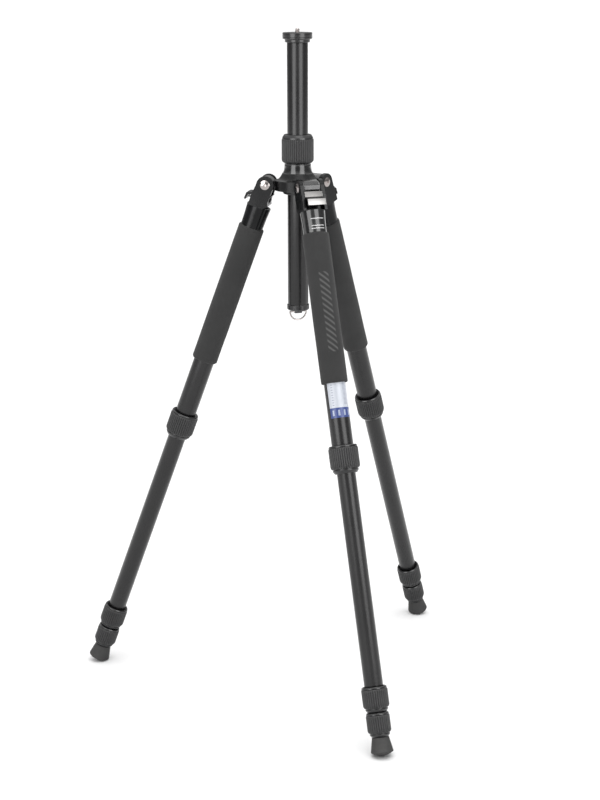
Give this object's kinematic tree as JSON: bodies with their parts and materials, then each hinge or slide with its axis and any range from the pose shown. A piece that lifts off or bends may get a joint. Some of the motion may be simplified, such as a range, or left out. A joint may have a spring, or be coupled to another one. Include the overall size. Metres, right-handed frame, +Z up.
{
  "type": "tripod",
  "caption": "Folding travel tripod on three twist-lock telescopic legs with foam sleeves, a sliding centre column, a screw plate on top and a ballast ring below.",
  "frame": {"origin": "on the floor, on the centre column's axis, with the tripod standing on its three feet", "axes": "+Z up along the centre column; the front leg points along -Y, the right leg 30 degrees from +X"},
  "size_m": [0.554, 0.4838, 0.9274],
  "materials": {
    "black_casting": "satin black",
    "black_tube": "black anodised, semi-gloss",
    "grip_rubber": "matte moulded rubber over plastic",
    "foam": "closed-cell foam",
    "nylon": "moulded",
    "cap_plastic": "moulded, satin",
    "bright_steel": "polished",
    "satin_silver": "satin silver",
    "spring_steel": "bright zinc",
    "foot_rubber": "matte"
  },
  "bodies": {
    "spider": {"spider": "black_casting"},
    "column_collet": {"column_collet": "nylon"},
    "column_lock": {"column_lock_grip": "grip_rubber"},
    "column": {"column_tube": "black_tube", "top_plate": "black_casting", "camera_screw": "bright_steel", "column_grub_screws": "spring_steel", "column_end_cap": "cap_plastic"},
    "ballast_ring": {"ballast_ring": "bright_steel"},
    "front_leg": {"front_yoke": "black_casting", "front_hinge_axle": "bright_steel", "front_hinge_washers": "satin_silver", "front_catch_pin": "spring_steel", "front_foam_sleeve": "foam", "front_tube_1": "black_tube", "front_lock_1_nut": "nylon"},
    "front_catch_lever": {"front_catch": "satin_silver"},
    "front_lock_1": {"front_lock_1_grip": "grip_rubber"},
    "front_section_2": {"front_tube_2": "black_tube", "front_lock_2_nut": "nylon"},
    "front_lock_2": {"front_lock_2_grip": "grip_rubber"},
    "front_section_3": {"front_tube_3": "black_tube", "front_lock_3_nut": "nylon"},
    "front_lock_3": {"front_lock_3_grip": "grip_rubber"},
    "front_section_4": {"front_tube_4": "black_tube", "front_foot": "foot_rubber"},
    "right_leg": {"right_yoke": "black_casting", "right_hinge_axle": "bright_steel", "right_hinge_washers": "satin_silver", "right_catch_pin": "spring_steel", "right_foam_sleeve": "foam", "right_tube_1": "black_tube", "right_lock_1_nut": "nylon"},
    "right_catch_lever": {"right_catch": "satin_silver"},
    "right_lock_1": {"right_lock_1_grip": "grip_rubber"},
    "right_section_2": {"right_tube_2": "black_tube", "right_lock_2_nut": "nylon"},
    "right_lock_2": {"right_lock_2_grip": "grip_rubber"},
    "right_section_3": {"right_tube_3": "black_tube", "right_lock_3_nut": "nylon"},
    "right_lock_3": {"right_lock_3_grip": "grip_rubber"},
    "right_section_4": {"right_tube_4": "black_tube", "right_foot": "foot_rubber"},
    "left_leg": {"left_yoke": "black_casting", "left_hinge_axle": "bright_steel", "left_hinge_washers": "satin_silver", "left_catch_pin": "spring_steel", "left_foam_sleeve": "foam", "left_tube_1": "black_tube", "left_lock_1_nut": "nylon"},
    "left_catch_lever": {"left_catch": "satin_silver"},
    "left_lock_1": {"left_lock_1_grip": "grip_rubber"},
    "left_section_2": {"left_tube_2": "black_tube", "left_lock_2_nut": "nylon"},
    "left_lock_2": {"left_lock_2_grip": "grip_rubber"},
    "left_section_3": {"left_tube_3": "black_tube", "left_lock_3_nut": "nylon"},
    "left_lock_3": {"left_lock_3_grip": "grip_rubber"},
    "left_section_4": {"left_tube_4": "black_tube", "left_foot": "foot_rubber"}
  },
  "joints": [
    {"name": "column_turn", "type": "hinge", "parent": "spider", "child": "column_collet", "pos_m": [0, 0, 0.71799], "axis": [0, 0, 1], "continuous": true},
    {"name": "column_slide", "type": "slide", "parent": "column_collet", "child": "column", "axis": [0, 0, 1], "range_m": [-0.12, 0.15]},
    {"name": "column_lock_turn", "type": "hinge", "parent": "spider", "child": "column_lock", "pos_m": [0, 0, 0.76609], "axis": [0, 0, 1], "range_deg": [0, 150]},
    {"name": "ballast_ring_swing", "type": "hinge", "parent": "column", "child": "ballast_ring", "pos_m": [0, 0, 0.54049], "axis": [1, 0, 0], "range_deg": [-80, 80]},
    {"name": "front_leg_hinge", "type": "hinge", "parent": "spider", "child": "front_leg", "pos_m": [0, -0.043, 0.71799], "axis": [-1, 0, 0], "range_deg": [-20, 60]},
    {"name": "front_catch_pull", "type": "hinge", "parent": "front_leg", "child": "front_catch_lever", "pos_m": [0, -0.05756, 0.70788], "axis": [-1, 0, 0], "range_deg": [0, 20], "stiffness_Nm_per_rad": 0.15, "springref_deg": -17.19},
    {"name": "front_lock_1_turn", "type": "hinge", "parent": "front_leg", "child": "front_lock_1", "pos_m": [0, -0.17033, 0.36985], "axis": [0, -0.3435, -0.9392], "range_deg": [0, 90]},
    {"name": "front_section_2_slide", "type": "slide", "parent": "front_leg", "child": "front_section_2", "axis": [0, -0.3435, -0.9392], "range_m": [-0.282, 0]},
    {"name": "front_lock_2_turn", "type": "hinge", "parent": "front_section_2", "child": "front_lock_2", "pos_m": [0, -0.27977, 0.07063], "axis": [0, -0.3435, -0.9392], "range_deg": [0, 90]},
    {"name": "front_section_3_slide", "type": "slide", "parent": "front_section_2", "child": "front_section_3", "axis": [0, -0.3435, -0.9392], "range_m": [0, 0.3]},
    {"name": "front_lock_3_turn", "type": "hinge", "parent": "front_section_3", "child": "front_lock_3", "pos_m": [0, -0.29128, 0.03917], "axis": [0, -0.3435, -0.9392], "range_deg": [0, 90]},
    {"name": "front_section_4_slide", "type": "slide", "parent": "front_section_3", "child": "front_section_4", "axis": [0, -0.3435, -0.9392], "range_m": [0, 0.3]},
    {"name": "right_leg_hinge", "type": "hinge", "parent": "spider", "child": "right_leg", "pos_m": [0.03724, 0.0215, 0.71799], "axis": [0.5, -0.866, 0], "range_deg": [-20, 60]},
    {"name": "right_catch_pull", "type": "hinge", "parent": "right_leg", "child": "right_catch_lever", "pos_m": [0.04985, 0.02878, 0.70788], "axis": [0.5, -0.866, 0], "range_deg": [0, 20], "stiffness_Nm_per_rad": 0.15, "springref_deg": -17.19},
    {"name": "right_lock_1_turn", "type": "hinge", "parent": "right_leg", "child": "right_lock_1", "pos_m": [0.14751, 0.08517, 0.36985], "axis": [0.2975, 0.1717, -0.9392], "range_deg": [0, 90]},
    {"name": "right_section_2_slide", "type": "slide", "parent": "right_leg", "child": "right_section_2", "axis": [0.2975, 0.1717, -0.9392], "range_m": [-0.282, 0]},
    {"name": "right_lock_2_turn", "type": "hinge", "parent": "right_section_2", "child": "right_lock_2", "pos_m": [0.24229, 0.13989, 0.07063], "axis": [0.2975, 0.1717, -0.9392], "range_deg": [0, 90]},
    {"name": "right_section_3_slide", "type": "slide", "parent": "right_section_2", "child": "right_section_3", "axis": [0.2975, 0.1717, -0.9392], "range_m": [0, 0.3]},
    {"name": "right_lock_3_turn", "type": "hinge", "parent": "right_section_3", "child": "right_lock_3", "pos_m": [0.25226, 0.14564, 0.03917], "axis": [0.2975, 0.1717, -0.9392], "range_deg": [0, 90]},
    {"name": "right_section_4_slide", "type": "slide", "parent": "right_section_3", "child": "right_section_4", "axis": [0.2975, 0.1717, -0.9392], "range_m": [0, 0.3]},
    {"name": "left_leg_hinge", "type": "hinge", "parent": "spider", "child": "left_leg", "pos_m": [-0.03724, 0.0215, 0.71799], "axis": [0.5, 0.866, 0], "range_deg": [-20, 60]},
    {"name": "left_catch_pull", "type": "hinge", "parent": "left_leg", "child": "left_catch_lever", "pos_m": [-0.04985, 0.02878, 0.70788], "axis": [0.5, 0.866, 0], "range_deg": [0, 20], "stiffness_Nm_per_rad": 0.15, "springref_deg": -17.19},
    {"name": "left_lock_1_turn", "type": "hinge", "parent": "left_leg", "child": "left_lock_1", "pos_m": [-0.14751, 0.08517, 0.36985], "axis": [-0.2975, 0.1717, -0.9392], "range_deg": [0, 90]},
    {"name": "left_section_2_slide", "type": "slide", "parent": "left_leg", "child": "left_section_2", "axis": [-0.2975, 0.1717, -0.9392], "range_m": [-0.282, 0]},
    {"name": "left_lock_2_turn", "type": "hinge", "parent": "left_section_2", "child": "left_lock_2", "pos_m": [-0.24229, 0.13989, 0.07063], "axis": [-0.2975, 0.1717, -0.9392], "range_deg": [0, 90]},
    {"name": "left_section_3_slide", "type": "slide", "parent": "left_section_2", "child": "left_section_3", "axis": [-0.2975, 0.1717, -0.9392], "range_m": [0, 0.3]},
    {"name": "left_lock_3_turn", "type": "hinge", "parent": "left_section_3", "child": "left_lock_3", "pos_m": [-0.25226, 0.14564, 0.03917], "axis": [-0.2975, 0.1717, -0.9392], "range_deg": [0, 90]},
    {"name": "left_section_4_slide", "type": "slide", "parent": "left_section_3", "child": "left_section_4", "axis": [-0.2975, 0.1717, -0.9392], "range_m": [0, 0.3]}
  ]
}
